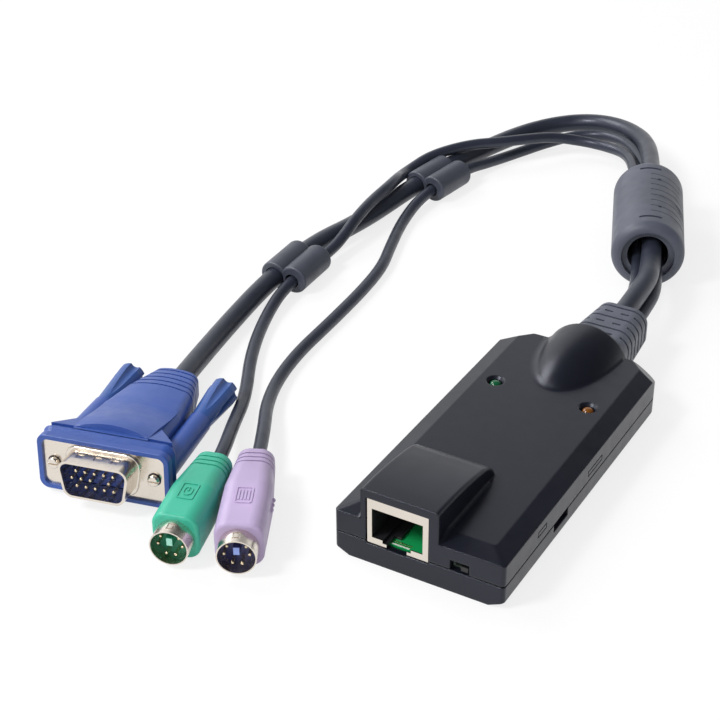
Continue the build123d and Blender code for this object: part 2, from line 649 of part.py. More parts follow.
floor_cut_x = PORT_X + PORT_WIDTH / 2 - PORT_FLOOR_CUT / 2
contact_top = PORT_BOTTOM + PORT_HEIGHT
contact_back = JACK_FRONT + PORT_DEPTH
with BuildPart() as jack_insert:
    add(bar(JACK_WIDTH - 2 * JACK_SKIN, JACK_HEIGHT - JACK_SKIN, JACK_FRONT + JACK_SKIN,
            JACK_FRONT + JACK_DEPTH - JACK_SKIN, JACK_X, BOARD_TOP + (JACK_HEIGHT - JACK_SKIN) / 2))
    add(port_cut, mode=Mode.SUBTRACT)
    add(latch_cut, mode=Mode.SUBTRACT)
    add(narrow_cut, mode=Mode.SUBTRACT)
    add(bar(PORT_FLOOR_CUT, 2 * PORT_SILL, JACK_FRONT, contact_back, floor_cut_x, PORT_BOTTOM),
        mode=Mode.SUBTRACT)
save(jack_insert.part, "jack_insert")

with BuildPart() as jack_contacts:
    for index in range(CONTACT_COUNT):
        x = PORT_X + (index - (CONTACT_COUNT - 1) / 2) * CONTACT_PITCH
        with BuildSketch(Plane.YZ.offset(x - CONTACT_SIZE / 2)):
            with BuildLine():
                Polyline((JACK_FRONT + CONTACT_START, contact_top),
                         (JACK_FRONT + CONTACT_START, contact_top - CONTACT_SIZE),
                         (contact_back, contact_top - CONTACT_DROP),
                         (contact_back, contact_top - CONTACT_DROP + CONTACT_SIZE),
                         (JACK_FRONT + CONTACT_BEND, contact_top), close=True)
            make_face()
        extrude(amount=CONTACT_SIZE)
save(jack_contacts.part, "jack_contacts")

# Mode switch: body on the board, and the slider that shows in the window
slot_width = SLIDER_WIDTH + SLIDER_TRAVEL + 2 * SLIDER_GAP
slot_height = SLIDER_HEIGHT + 2 * SLIDER_GAP
with BuildPart() as switch_body:
    add(bar(SWITCH_WIDTH, SWITCH_HEIGHT, SWITCH_FRONT, SWITCH_FRONT + SWITCH_DEPTH, SWITCH_X,
            SWITCH_MIDDLE_Z))
    add(bar(slot_width, slot_height, SWITCH_FRONT, SWITCH_FRONT + SWITCH_SKIN, SWITCH_X, SWITCH_MIDDLE_Z),
        mode=Mode.SUBTRACT)
    add(bar(slot_width + 2 * SLIDER_FOOT, slot_height + 2 * SLIDER_FOOT, SWITCH_FRONT + SWITCH_SKIN,
            SWITCH_FRONT + SWITCH_SKIN + SLIDER_FOOT_DEPTH + 2 * SLIDER_GAP, SWITCH_X, SWITCH_MIDDLE_Z),
        mode=Mode.SUBTRACT)
save(switch_body.part, "switch_body")

with BuildPart() as switch_slider:
    add(bar(SLIDER_WIDTH, SLIDER_HEIGHT, SWITCH_FRONT - SLIDER_REACH, SWITCH_FRONT + SWITCH_SKIN + SLIDER_GAP,
            SLIDER_X, SWITCH_MIDDLE_Z))
    add(bar(SLIDER_WIDTH + 2 * SLIDER_FOOT, SLIDER_HEIGHT + 2 * SLIDER_FOOT,
            SWITCH_FRONT + SWITCH_SKIN + SLIDER_GAP,
            SWITCH_FRONT + SWITCH_SKIN + SLIDER_GAP + SLIDER_FOOT_DEPTH, SLIDER_X, SWITCH_MIDDLE_Z))
save(switch_slider.part, "switch_slider")


def boot_size(y):
    """Width and height of the boot's tapering section at y."""
    share = (y - REAR) / BOOT_LENGTH
    return tuple(near + share * (far - near) for near, far in zip(BOOT_NEAR, BOOT_FAR))


# Strain-relief boot: a grooved taper outside, a neck through the rear wall and a collar inside
with BuildPart() as cable_boot:
    for y in (REAR, REAR + BOOT_LENGTH):
        with BuildSketch(across(y)):
            with Locations((BOOT_X, BOOT_Z)):
                RectangleRounded(*boot_size(y), BOOT_CORNER)
    loft(ruled=True)
    add(bar(*BOOT_NECK, REAR - WALL - FIT_GAP, REAR, BOOT_X, BOOT_Z, BOOT_CORNER))
    add(bar(*BOOT_COLLAR, REAR - WALL - FIT_GAP - BOOT_COLLAR_THICKNESS, REAR - WALL - FIT_GAP,
            BOOT_X, BOOT_Z, BOOT_CORNER))
    for row in range(BOOT_ROWS):
        y = REAR + BOOT_LENGTH - BOOT_ROW_INSET - row * BOOT_ROW_PITCH
        width, height = boot_size(y)
        with BuildSketch(across(y + BOOT_GROOVE_WIDTH / 2)):
            with Locations((BOOT_X, BOOT_Z - BOOT_GROOVE_DROP + height / 2)):
                Rectangle(width + OVERCUT, height)
            with Locations((BOOT_X, BOOT_Z)):
                RectangleRounded(width - 2 * BOOT_GROOVE_DEPTH, height - 2 * BOOT_GROOVE_DEPTH,
                                 BOOT_CORNER - BOOT_GROOVE_DEPTH, mode=Mode.SUBTRACT)
            if row % 2 == 1:
                with Locations((BOOT_X, BOOT_Z + height / 2)):
                    Rectangle(width - 2 * BOOT_SHOULDER, height, mode=Mode.SUBTRACT)
                    with GridLocations(BOOT_DASH_SPACING, 1, 2, 1):
                        Rectangle(BOOT_DASH, 2 * BOOT_GROOVE_DEPTH)
        extrude(amount=BOOT_GROOVE_WIDTH, mode=Mode.SUBTRACT)
    for bore in (vga_bore, mouse_bore, keyboard_bore):
        add(bore, mode=Mode.SUBTRACT)
save(cable_boot.part, "cable_boot")

# Ferrite choke, made along +Y from its near end and laid where it lies on the leads
ferrite_place = plug_place((*FERRITE_NEAR, FERRITE_RADIUS), FERRITE_HEADING)
core_start = (FERRITE_LENGTH - CORE_LENGTH) / 2
with BuildPart() as ferrite_cover:
    with BuildSketch(across(FERRITE_LENGTH)):
        Circle(FERRITE_RADIUS)
    extrude(amount=FERRITE_LENGTH)
    fillet(ferrite_cover.edges().filter_by(GeomType.CIRCLE), FERRITE_END_ROUND)
    for y in (FERRITE_DISH_DEPTH, FERRITE_LENGTH):
        with BuildSketch(across(y)):
            Circle(FERRITE_DISH_RADIUS)
        extrude(amount=FERRITE_DISH_DEPTH, mode=Mode.SUBTRACT)
    with BuildSketch(across(FERRITE_LENGTH)):
        Circle(FERRITE_BORE)
    extrude(amount=FERRITE_LENGTH, mode=Mode.SUBTRACT)
    with BuildSketch(across(FERRITE_LENGTH - core_start + CORE_GAP)):
        Circle(CORE_RADIUS + CORE_GAP)
    extrude(amount=CORE_LENGTH + 2 * CORE_GAP, mode=Mode.SUBTRACT)
    for y in (SLOT_INSET, FERRITE_LENGTH - SLOT_INSET):
        with BuildSketch(across(y + SLOT[1] / 2)):
            with Locations((0, FERRITE_RADIUS)):
                Rectangle(SLOT[0], 2 * SLOT[2])
        extrude(amount=SLOT[1], mode=Mode.SUBTRACT)
    with BuildSketch(Plane.XY.offset(FERRITE_RADIUS)):
        with Locations((VENT_X, VENT_INSET), (VENT_X, FERRITE_LENGTH - VENT_INSET)):
            Circle(VENT_RADIUS)
    extrude(amount=-SLOT[2], mode=Mode.SUBTRACT)
    for index in range(RING_COUNT):
        y = FERRITE_LENGTH / 2 + (index - (RING_COUNT - 1) / 2) * RING_SPAN / RING_COUNT
        with BuildSketch(Plane(origin=(0, y, 0), x_dir=(0, 1, 0), z_dir=(1, 0, 0))):
            with Locations((0, FERRITE_RADIUS)):
                Rectangle(RING_WIDTH, 2 * RING_DEPTH)
        revolve(axis=Axis((0, 0, 0), (0, 1, 0)), revolution_arc=RING_ARC, mode=Mode.SUBTRACT)
save(ferrite_cover.part, "ferrite_cover", ferrite_place)

with BuildPart() as ferrite_core:
    with BuildSketch(across(FERRITE_LENGTH - core_start)):
        Circle(CORE_RADIUS)
        Circle(FERRITE_BORE, mode=Mode.SUBTRACT)
    extrude(amount=CORE_LENGTH)
save(ferrite_core.part, "ferrite_core", ferrite_place)


def sleeve(at, heading, bores):
    """Two soft barrels side by side round two leads, resting on the ground."""
    with BuildPart() as form:
        with BuildSketch(across(SLEEVE_LENGTH / 2)):
            with GridLocations(SLEEVE_PITCH, 1, 2, 1):
                Circle(SLEEVE_RADIUS)
        extrude(amount=SLEEVE_LENGTH)
        fillet(form.faces().filter_by(Axis.Y).edges(), SLEEVE_EDGE)
    with BuildPart() as piece:
        add(form.part.moved(plug_place((*at, SLEEVE_RADIUS), heading)))
        for lead_bore in bores:
            add(lead_bore, mode=Mode.SUBTRACT)
    return piece.part


save(sleeve(UPPER_SLEEVE_AT, UPPER_SLEEVE_HEADING, (vga_bore, keyboard_loose_bore)), "upper_sleeve")
save(sleeve(LOWER_SLEEVE_AT, LOWER_SLEEVE_HEADING, (vga_bore, mouse_loose_bore)), "lower_sleeve")


def d_outline(grow):
    """The D of the video plug, wide side up, grown or shrunk by grow."""
    with BuildSketch(mode=Mode.PRIVATE) as outline:
        with BuildLine():
            top = D_WIDTH / 2
            low = top - D_HEIGHT * tan(radians(D_SLANT))
            Polyline((-top, D_HEIGHT / 2), (top, D_HEIGHT / 2), (low, -D_HEIGHT / 2), (-low, -D_HEIGHT / 2),
                     close=True)
        make_face()
        fillet(outline.vertices(), D_CORNER)
        if grow != 0:
            offset(amount=grow)
    return outline.sketch


def prism_of(sketch, y0, y1):
    """A flat outline drawn round the origin, made a prism along Y from y0 to y1."""
    with BuildPart() as piece:
        with BuildSketch(across(y1)):
            add(sketch)
        extrude(amount=y1 - y0)
    return piece.part


# Video plug
vga_place = plug_place(VGA_AT, VGA_TURN, VGA_TILT)
screw_x = SCREW_SPACING / 2
insulator_front = PLATE_THICKNESS
with BuildPart() as shell_root:
    add(prism_of(d_outline(D_ROOT[0]), -D_ROOT[1], 0))
    fillet(shell_root.faces().sort_by(Axis.Y)[0].edges(), D_ROOT[2])
with BuildPart() as vga_shell:
    add(bar(PLATE_WIDTH, PLATE_HEIGHT, 0, PLATE_THICKNESS, corner=PLATE_CORNER))
    add(shell_root.part)
    add(prism_of(d_outline(0), -D_LENGTH, 0))
    add(prism_of(d_outline(-D_SKIN), -D_LENGTH, PLATE_THICKNESS), mode=Mode.SUBTRACT)
    with BuildSketch(across(PLATE_THICKNESS)):
        with GridLocations(SCREW_SPACING, 1, 2, 1):
            Circle(PLATE_HOLE_RADIUS)
    extrude(amount=PLATE_THICKNESS, mode=Mode.SUBTRACT)
    with BuildSketch(Plane.XY.offset(D_HEIGHT / 2)):
        with Locations((0, -D_LENGTH / 2)):
            with GridLocations(DIMPLE_SPACING, 1, 3, 1):
                Rectangle(DIMPLE[0], DIMPLE[1])
    extrude(amount=-DIMPLE[2], mode=Mode.SUBTRACT)
save(vga_shell.part, "vga_shell", vga_place)

pin_spots = []
for index in range(PINS_ACROSS):
    pin_x = (index - (PINS_ACROSS - 1) / 2) * PIN_PITCH
    pin_spots.append((pin_x, ROW_PITCH))
    pin_spots.append((pin_x, -ROW_PITCH))
    if index != MISSING_PIN:
        pin_spots.append((pin_x - PIN_PITCH / 2, 0))

with BuildPart() as vga_insulator:
    add(prism_of(d_outline(-D_SKIN - BORE_GAP), 0, insulator_front))
    add(bar(INSULATOR[0], INSULATOR[1], insulator_front, insulator_front + INSULATOR[2], corner=PLATE_CORNER))
    with BuildSketch(across(insulator_front + INSULATOR[2])):
        with Locations(pin_spots):
            Circle(PIN_RADIUS + PIN_GAP)
    extrude(amount=insulator_front + INSULATOR[2], mode=Mode.SUBTRACT)
save(vga_insulator.part, "vga_insulator", vga_place)

with BuildPart() as vga_pins:
    with BuildSketch(across(insulator_front + INSULATOR[2])):
        with Locations(pin_spots):
            Circle(PIN_RADIUS)
    extrude(amount=insulator_front + INSULATOR[2] + PIN_REACH)
    fillet(vga_pins.faces().filter_by(Axis.Y).group_by(Axis.Y)[0].edges(), PIN_TIP)
save(vga_pins.part, "vga_pins", vga_place)


def crowned(width, height, corner):
    """A rounded section whose top and bottom bow outwards by a share of its width."""
    shoulder = height / 2 - HOOD_CROWN * width
    with BuildSketch(mode=Mode.PRIVATE) as section:
        with BuildLine():
            ThreePointArc((-width / 2, shoulder), (0, height / 2), (width / 2, shoulder))
            Line((width / 2, shoulder), (width / 2, -shoulder))
            ThreePointArc((width / 2, -shoulder), (0, -height / 2), (-width / 2, -shoulder))
            Line((-width / 2, -shoulder), (-width / 2, shoulder))
        make_face()
        fillet(section.vertices(), corner)
    return section.sketch


def hood_size(y):
    """Width and height of the video plug's hood at y, between its listed sections."""
    for (y0, w0, h0), (y1, w1, h1) in zip(HOOD_SECTIONS, HOOD_SECTIONS[1:]):
        if y <= y1:
            share = (y - y0) / (y1 - y0)
            return w0 + share * (w1 - w0), h0 + share * (h1 - h0)
    return HOOD_SECTIONS[-1][1:]


with BuildPart() as frame_block:
    add(bar(*FRAME_RING, -FRAME_LIP, FRAME_RING_END, corner=FRAME_CORNER))
    fillet(frame_block.faces().sort_by(Axis.Y)[0].edges(), FRAME_LIP / 2)
    add(bar(*FRAME_STEP, FRAME_RING_END, FRAME_STEP_END, corner=FRAME_CORNER))
    with BuildSketch(across(FRAME_STEP_END)):
        RectangleRounded(*FRAME_STEP, FRAME_CORNER)
    with BuildSketch(across(FRAME_RISE_END)):
        RectangleRounded(FRAME_WIDTH, FRAME_HEIGHT, FRAME_CORNER)
    loft(ruled=True)
    with BuildSketch(across(FRAME_RISE_END)):
        RectangleRounded(FRAME_WIDTH, FRAME_HEIGHT, FRAME_CORNER)
    with BuildSketch(across(FRAME_DEPTH)):
        RectangleRounded(FRAME_WIDTH - 2 * FRAME_BEVEL, FRAME_HEIGHT - 2 * FRAME_BEVEL, FRAME_CORNER)
    loft(ruled=True)

with BuildPart() as vga_hood:
    for y, width, height in HOOD_SECTIONS:
        with BuildSketch(across(y)):
            add(crowned(width, height, PLUG_HOOD_CORNER))
    loft(ruled=True)
    add(frame_block.part)
    for x in (-screw_x, screw_x):
        with BuildSketch(across(PLATE_THICKNESS)):
            with Locations((x, 0)):
                Circle(BARREL_RADIUS)
        with BuildSketch(across(KNOB_START - BARREL_GAP)):
            with Locations((x, 0)):
                Circle(BARREL_END_RADIUS)
        loft(ruled=True)
    for index in range(RIB_COUNT):
        y = RIB_START + index * RIB_PITCH
        width, height = hood_size(y)
        with BuildSketch(across(y + RIB_WIDTH / 2)):
            Rectangle(width + OVERCUT, height + OVERCUT)
            add(crowned(width - 2 * RIB_DEPTH, height - 2 * RIB_DEPTH, PLUG_HOOD_CORNER - RIB_DEPTH),
                mode=Mode.SUBTRACT)
        extrude(amount=RIB_WIDTH, mode=Mode.SUBTRACT)
    add(bar(*PLATE_SHOWN, -FRAME_LIP - OVERCUT, 0, corner=PLATE_CORNER), mode=Mode.SUBTRACT)
    add(bar(PLATE_WIDTH, PLATE_HEIGHT, 0, PLATE_THICKNESS, corner=PLATE_CORNER), mode=Mode.SUBTRACT)
    add(bar(INSULATOR[0], INSULATOR[1], PLATE_THICKNESS, PLATE_THICKNESS + INSULATOR[2], corner=PLATE_CORNER),
        mode=Mode.SUBTRACT)
    with BuildSketch(across(KNOB_START)):
        with GridLocations(SCREW_SPACING, 1, 2, 1):
            Circle(SCREW_RADIUS + SCREW_GAP)
    extrude(amount=KNOB_START + OVERCUT, mode=Mode.SUBTRACT)
with BuildPart() as vga_hood_bored:
    add(vga_hood.part.moved(vga_place))
    add(vga_bore, mode=Mode.SUBTRACT)
save(vga_hood_bored.part, "vga_hood")

for side, x in (("left", -screw_x), ("right", screw_x)):
    with BuildPart() as screw:
        with BuildSketch(across(KNOB_START + KNOB_LENGTH / 2)):
            with Locations((x, 0)):
                Circle(SCREW_RADIUS)
        extrude(amount=KNOB_START + KNOB_LENGTH / 2 + SCREW_TIP)
        fillet(screw.faces().sort_by(Axis.Y)[0].edges(), SCREW_DOME)
        with BuildSketch(across(SCREW_SLOT[1] - SCREW_TIP)):
            with Locations((x, 0)):
                Rectangle(3 * SCREW_RADIUS, SCREW_SLOT[0])
        extrude(amount=2 * SCREW_SLOT[1], mode=Mode.SUBTRACT)
    save(screw.part, f"{side}_thumbscrew_screw", vga_place)

    with BuildPart() as knob:
        with BuildSketch(across(KNOB_START)):
            with Locations((x, 0)):
                Circle(KNOB_NECK_RADIUS)
        with BuildSketch(across(KNOB_START + KNOB_LENGTH - KNOB_END_BAND)):
            with Locations((x, 0)):
                Circle(KNOB_END_RADIUS)
        loft(ruled=True)
        with BuildSketch(across(KNOB_START + KNOB_LENGTH)):
            with Locations((x, 0)):
                Circle(KNOB_END_RADIUS)
        extrude(amount=KNOB_END_BAND)
        fillet(knob.faces().sort_by(Axis.Y)[-1].edges(), KNOB_EDGE)
        with BuildSketch(across(KNOB_START + KNOB_LENGTH)):
            with Locations((x, 0)):
                with PolarLocations(KNOB_END_RADIUS + KNOB_FLUTE_OUT, KNOB_FLUTES):
                    Circle(KNOB_FLUTE_RADIUS)
        extrude(amount=KNOB_LENGTH, mode=Mode.SUBTRACT)
        with BuildSketch(across(KNOB_START + KNOB_LENGTH / 2)):
            with Locations((x, 0)):
                Circle(SCREW_RADIUS)
        extrude(amount=KNOB_LENGTH, mode=Mode.SUBTRACT)
    save(knob.part, f"{side}_thumbscrew_knob", vga_place)


def icon_lines(kind):
    """The raised mark inside the frame on a round plug: rows of keys, or a pointer's two buttons."""
    if kind == "keyboard":
        with GridLocations(ICON_ROW_PITCH, 1, ICON_ROWS, 1):
            Rectangle(ICON_LINE, ICON_ROW)
    else:
        SlotOverall(*ICON_POINTER, rotation=90)
        SlotOverall(ICON_POINTER[0] - 2 * ICON_LINE, ICON_POINTER[1] - 2 * ICON_LINE, rotation=90,
                    mode=Mode.SUBTRACT)
        with Locations((0, ICON_SPLIT[0])):
            Rectangle(ICON_LINE, ICON_SPLIT[1])


def round_plug(at, turn, body_length, lead_bore, kind, name):
    """A round six-pin plug: body, metal shell, insert with the key post, and pins."""
    place = plug_place((*at, DIN_BODY_HEIGHT / 2), turn)
    body_end = DIN_SHELL_REACH + body_length
    taper_start = body_end - DIN_TAPER
    seat = DIN_SHELL_REACH + DIN_SHELL_SEAT

    with BuildPart() as body:
        add(bar(DIN_BODY_WIDTH, DIN_BODY_HEIGHT, DIN_SHELL_REACH, taper_start, corner=DIN_BODY_CORNER))
        fillet(body.faces().sort_by(Axis.Y)[0].edges(), DIN_EDGE)
        with BuildSketch(across(taper_start)):
            RectangleRounded(DIN_BODY_WIDTH, DIN_BODY_HEIGHT, DIN_BODY_CORNER)
        with BuildSketch(across(body_end)):
            RectangleRounded(DIN_BODY_REAR, DIN_BODY_REAR, DIN_BODY_CORNER)
        loft(ruled=True)
        for inset in DIN_RING_INSETS:
            y = body_end - inset
            share = max(0, (y - taper_start) / DIN_TAPER)
            width = DIN_BODY_WIDTH + share * (DIN_BODY_REAR - DIN_BODY_WIDTH)
            height = DIN_BODY_HEIGHT + share * (DIN_BODY_REAR - DIN_BODY_HEIGHT)
            with BuildSketch(across(y + DIN_RING_WIDTH / 2)):
                Rectangle(width + OVERCUT, height + OVERCUT)
                RectangleRounded(width - 2 * DIN_RING_DEPTH, height - 2 * DIN_RING_DEPTH,
                                 DIN_BODY_CORNER - DIN_RING_DEPTH, mode=Mode.SUBTRACT)
            extrude(amount=DIN_RING_WIDTH, mode=Mode.SUBTRACT)
        with BuildSketch(Plane.XY.offset(DIN_BODY_HEIGHT / 2)):
            with Locations((0, DIN_SHELL_REACH + ICON_SHARE * body_length)):
                RectangleRounded(*ICON_FRAME, ICON_CORNER)
                RectangleRounded(ICON_FRAME[0] - 2 * ICON_LINE, ICON_FRAME[1] - 2 * ICON_LINE,
                                 ICON_CORNER - ICON_LINE, mode=Mode.SUBTRACT)
                icon_lines(kind)
        extrude(amount=ICON_HEIGHT)
        with BuildSketch(across(seat)):
            Circle(DIN_SHELL_RADIUS)
        extrude(amount=DIN_SHELL_SEAT, mode=Mode.SUBTRACT)
    with BuildPart() as bored_body:
        add(body.part.moved(place))
        add(lead_bore, mode=Mode.SUBTRACT)
    save(bored_body.part, f"{name}_body")

    inner_radius = DIN_SHELL_RADIUS - DIN_SHELL_SKIN
    with BuildPart() as shell:
        with BuildSketch(across(seat)):
            Circle(DIN_SHELL_RADIUS)
            Circle(inner_radius, mode=Mode.SUBTRACT)
        extrude(amount=seat)
        with BuildSketch(Plane.XY.offset(DIN_SHELL_RADIUS)):
            with Locations((0, DIN_SHELL_REACH / 2)):
                Rectangle(*DIN_LANCE)
                Rectangle(*DIN_LANCE_TAB, mode=Mode.SUBTRACT)
        extrude(amount=-DIN_SHELL_SKIN, mode=Mode.SUBTRACT)
    save(shell.part, f"{name}_shell", place)

    with BuildPart() as insert:
        with BuildSketch(across(seat)):
            Circle(inner_radius)
        extrude(amount=seat - DIN_FLOOR)
        with BuildSketch(across(DIN_FLOOR)):
            with Locations((0, DIN_KEY_Z)):
                Rectangle(*DIN_KEY)
        extrude(amount=DIN_FLOOR - DIN_KEY_RECESS)
        with BuildSketch(across(seat)):
            with Locations(DIN_PINS):
                Circle(DIN_PIN_RADIUS)
        extrude(amount=seat - DIN_FLOOR, mode=Mode.SUBTRACT)
    save(insert.part, f"{name}_insert", place)

    with BuildPart() as pins:
        with BuildSketch(across(seat)):
            with Locations(DIN_PINS):
                Circle(DIN_PIN_RADIUS)
        extrude(amount=seat - DIN_PIN_RECESS)
        fillet(pins.faces().filter_by(Axis.Y).group_by(Axis.Y)[0].edges(), DIN_PIN_TIP)
    save(pins.part, f"{name}_pins", place)


round_plug(MOUSE_AT, MOUSE_TURN, MOUSE_BODY_LENGTH, mouse_bore, "mouse", "mouse_plug")
round_plug(KEYBOARD_AT, KEYBOARD_TURN, KEYBOARD_BODY_LENGTH, keyboard_bore, "keyboard", "keyboard_plug")
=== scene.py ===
"""Dresses the interface dongle: materials, smooth leads, small moulded details, light and camera."""
import json
import math

import bpy
from mathutils import Matrix, Vector


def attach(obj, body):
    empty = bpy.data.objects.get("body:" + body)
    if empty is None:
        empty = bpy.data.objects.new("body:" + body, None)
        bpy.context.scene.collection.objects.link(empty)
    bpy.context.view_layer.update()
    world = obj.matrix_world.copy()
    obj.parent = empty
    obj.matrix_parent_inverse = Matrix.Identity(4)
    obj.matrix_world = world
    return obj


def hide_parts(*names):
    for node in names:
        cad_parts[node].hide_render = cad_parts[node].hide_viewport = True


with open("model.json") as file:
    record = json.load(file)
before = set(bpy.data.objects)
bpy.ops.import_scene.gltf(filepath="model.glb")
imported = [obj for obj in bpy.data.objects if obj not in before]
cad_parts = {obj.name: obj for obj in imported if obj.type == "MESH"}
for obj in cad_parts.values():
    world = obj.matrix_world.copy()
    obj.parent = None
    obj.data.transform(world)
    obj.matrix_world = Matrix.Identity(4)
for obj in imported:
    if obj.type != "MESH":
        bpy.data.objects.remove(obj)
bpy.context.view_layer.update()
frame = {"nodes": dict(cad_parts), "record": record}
nodes = frame["nodes"]

MM = 0.001

# Camera, read from the photograph
CAMERA_AT = (0.13098, -0.29146, 0.22960)
CAMERA_TARGET = (-0.05609, 0.02786, 0.0)
CAMERA_LENS = 82.66
CAMERA_SENSOR = 36
CAMERA_ROLL = math.radians(-0.476)

# Case, its jack hood and its cable boss, in millimetres
CASE_FRONT = -44.15
CASE_REAR = 44.15
LID_TOP = 12.75
LID_DROP = 1.45
FRONT_SLOPE = 4.2
REAR_SLOPE = 1.0
HOOD_LEFT = -14.1
HOOD_RIGHT = 5.0
BOSS_X = 1.0
BOSS_Z = 7.7
BOSS_RADIUS = 11.2
BOSS_LENGTH = 26.0

# Soft roots on the lid: the boss's root grows over a share of its half turn, from right to left
ROOT_STEPS = 8
ROOT_CLEAR = 0.01
HOOD_ROOT = 0.9
HOOD_ROOT_RIBS = 35
HOOD_ROOT_STEP = 0.7
BOSS_ROOTS = (0.5, 1.6)
BOSS_ROOT_GROWS = (0.375, 0.875)
BOSS_ROOT_RIBS = 96
BOSS_ROOT_SKIN = 1.001
SETTLING_ROUNDS = 4

# Marks on the board's front edge: two opposite corners of each, in millimetres
PADS_BEHIND = ((-7.6, -40.9, 5.40), (-3.0, -40.65, 5.44))
PADS_FRONT = ((-7.6, -41.45, 5.40), (-3.0, -41.3, 5.44))
PRINTED_STRIP = ((-7.6, -41.98, 5.40), (-3.2, -41.6, 5.43))

# Plugs: place, turn and tilt, in millimetres and degrees
VGA_PLACE = ((-76.5, -54.0, 8.15), 13.0, -4.0)
MOUSE_PLACE = ((-48.7, -67.8, 5.7), 15.5)
KEYBOARD_PLACE = ((-34.1, -63.2, 5.7), 25.9)

# Video plug in its own frame: top corners of a shoulder, and the crest over the hood's front
SHOULDER_TOP = [(7.0, 4.8, 7.6), (15.2, 4.8, 7.4), (8.8, 12.6, 6.0)]
CREST_FRONT = 4.9
CREST_REAR = 22.0
CREST_LIFT = 1.9
CREST_LEAN = 0.8
CREST_HALF = 9.3
CREST_SINK = 0.03
CREST_STEP = (0.25, 0.1)
CREST_FOOT = (4.2, 7.3)
CREST_GRID = (12, 24)

# Video plug's hood: place along the axis, width and height at two sections, and how far it crowns
HOOD_FRONT = (4.4, 21.6, 13.9)
HOOD_BACK = (21.0, 20.6, 13.0)
HOOD_CROWN = 0.085

# Round plugs in their own frames: three nubs, and between two corners a thin sheet on the end of the
# key post, coloured paler than the inserts as a painted highlight
NUBS_AT = (17.5, 19.3, 21.1)
NUB_SIDE = 5.5
NUB_RADIUS = 0.6
NUB_GRID = (4, 12)
KEY_TIP_HIGHLIGHT_SHEET = ((-0.66, 0.74, 0.25), (0.66, 0.82, 2.15))
# Paler copies of the insert colours: a painted highlight on the ends of the key posts
KEY_TIP_HIGHLIGHT_COLOURS = {"mouse": (0.30, 0.62, 0.50), "keyboard": (0.24, 0.33, 0.70)}

# Leads: the routes of the CAD leads in metres, and how much of the straight runs a curve keeps
VGA_DIAMETER = 0.0056
PS2_DIAMETER = 0.0034
LEAD_ROUNDNESS = 6
LEAD_FINENESS = 16
VGA_ROUTE = [
    (0.0019, 0.0330, 0.0101), (0.0017, 0.0790, 0.0119), (-0.0013, 0.0935, 0.0120),
    (-0.0201, 0.1400, 0.0116), (-0.0284, 0.1615, 0.0098), (-0.0354, 0.1754, 0.0086),
    (-0.0440, 0.1841, 0.0074), (-0.0538, 0.1886, 0.0062), (-0.0628, 0.1885, 0.0050),
    (-0.0704, 0.1844, 0.0040), (-0.0766, 0.1774, 0.0032), (-0.0810, 0.1680, 0.0028),
    (-0.0846, 0.1550, 0.0028), (-0.0872, 0.1405, 0.0038), (-0.0902, 0.1170, 0.0038),
    (-0.0931, 0.0930, 0.0028), (-0.09737, 0.07007, 0.0038), (-0.09623, 0.0441, 0.0038),
    (-0.0942, 0.0240, 0.0028), (-0.0906, 0.0050, 0.0034), (-0.0866, -0.01026, 0.00501),
    (-0.0839, -0.0219, 0.00585),
]
MOUSE_ROUTE = [
    (-0.0011, 0.0330, 0.0060), (-0.0014, 0.0760, 0.0070), (-0.0040, 0.0915, 0.0078),
    (-0.0242, 0.1383, 0.0090), (-0.0321, 0.1571, 0.0082), (-0.0392, 0.1684, 0.0068),
    (-0.0487, 0.1733, 0.0054), (-0.0573, 0.1732, 0.0054), (-0.0648, 0.1682, 0.0070),
    (-0.0700, 0.1612, 0.0080), (-0.0768, 0.1535, 0.0083), (-0.0848, 0.1465, 0.0084),
    (-0.0924, 0.1355, 0.0074), (-0.0950, 0.1265, 0.0056), (-0.0949, 0.1205, 0.0060),
    (-0.0926, 0.1130, 0.0082), (-0.0919, 0.1060, 0.0085), (-0.0919, 0.0990, 0.0082),
    (-0.0914, 0.0920, 0.0080), (-0.0909, 0.0850, 0.0072), (-0.0905, 0.0780, 0.0054),
    (-0.0906, 0.0710, 0.0038), (-0.0910, 0.0465, 0.0038), (-0.0880, 0.0310, 0.0018),
    (-0.0810, 0.0135, 0.0017), (-0.0710, -0.0040, 0.0017), (-0.0649, -0.0186, 0.0039),
    (-0.0583, -0.0332, 0.0057), (-0.05551, -0.04323, 0.0057),
]
KEYBOARD_ROUTE = [
    (0.0049, 0.0330, 0.0060), (0.0040, 0.0770, 0.0072), (0.0012, 0.0930, 0.0076),
    (-0.0203, 0.1402, 0.0066), (-0.0292, 0.1600, 0.0066), (-0.0376, 0.1725, 0.0066),
    (-0.0462, 0.1800, 0.0058), (-0.0550, 0.1824, 0.0046), (-0.0632, 0.1788, 0.0034),
    (-0.0697, 0.1710, 0.0022), (-0.0746, 0.1612, 0.0017), (-0.0786, 0.1500, 0.0022),
    (-0.0816, 0.1385, 0.0038), (-0.0846, 0.1160, 0.0038), (-0.0836, 0.1010, 0.0017),
    (-0.0783, 0.0835, 0.0017), (-0.0747, 0.0728, 0.0017), (-0.0727, 0.0586, 0.0017),
    (-0.0715, 0.0400, 0.0017), (-0.0706, 0.0170, 0.0017), (-0.0658, -0.0020, 0.0019),
    (-0.05463, -0.02092, 0.0048), (-0.0472, -0.0362, 0.0057),
]

# Finishes: scales of the noise per metre, depths and radii in metres
NOISE_MIDDLE = (0.3, 0.7)
SHADE_SCALE = 60
GLOSS_SCALE = 300
GRAIN_SCALE = 2600
METAL_GLOSS_SCALE = 500
METAL_GRAIN_SCALE = 900
METAL_GRAIN_DEPTH = 0.00001
PLASTIC_GRAIN_DEPTH = 0.00002
FINE_GRAIN_DEPTH = 0.000006
CASE_EDGE_RADIUS = 0.0006
PLASTIC_GLOSS_SPREAD = (-0.05, 0.07)
METAL_GLOSS_SPREAD = (-0.06, 0.08)
METAL_GRAIN_STRETCH = (1, 6, 1)
COOL_SHINE = (0.86, 0.89, 1.0, 1.0)

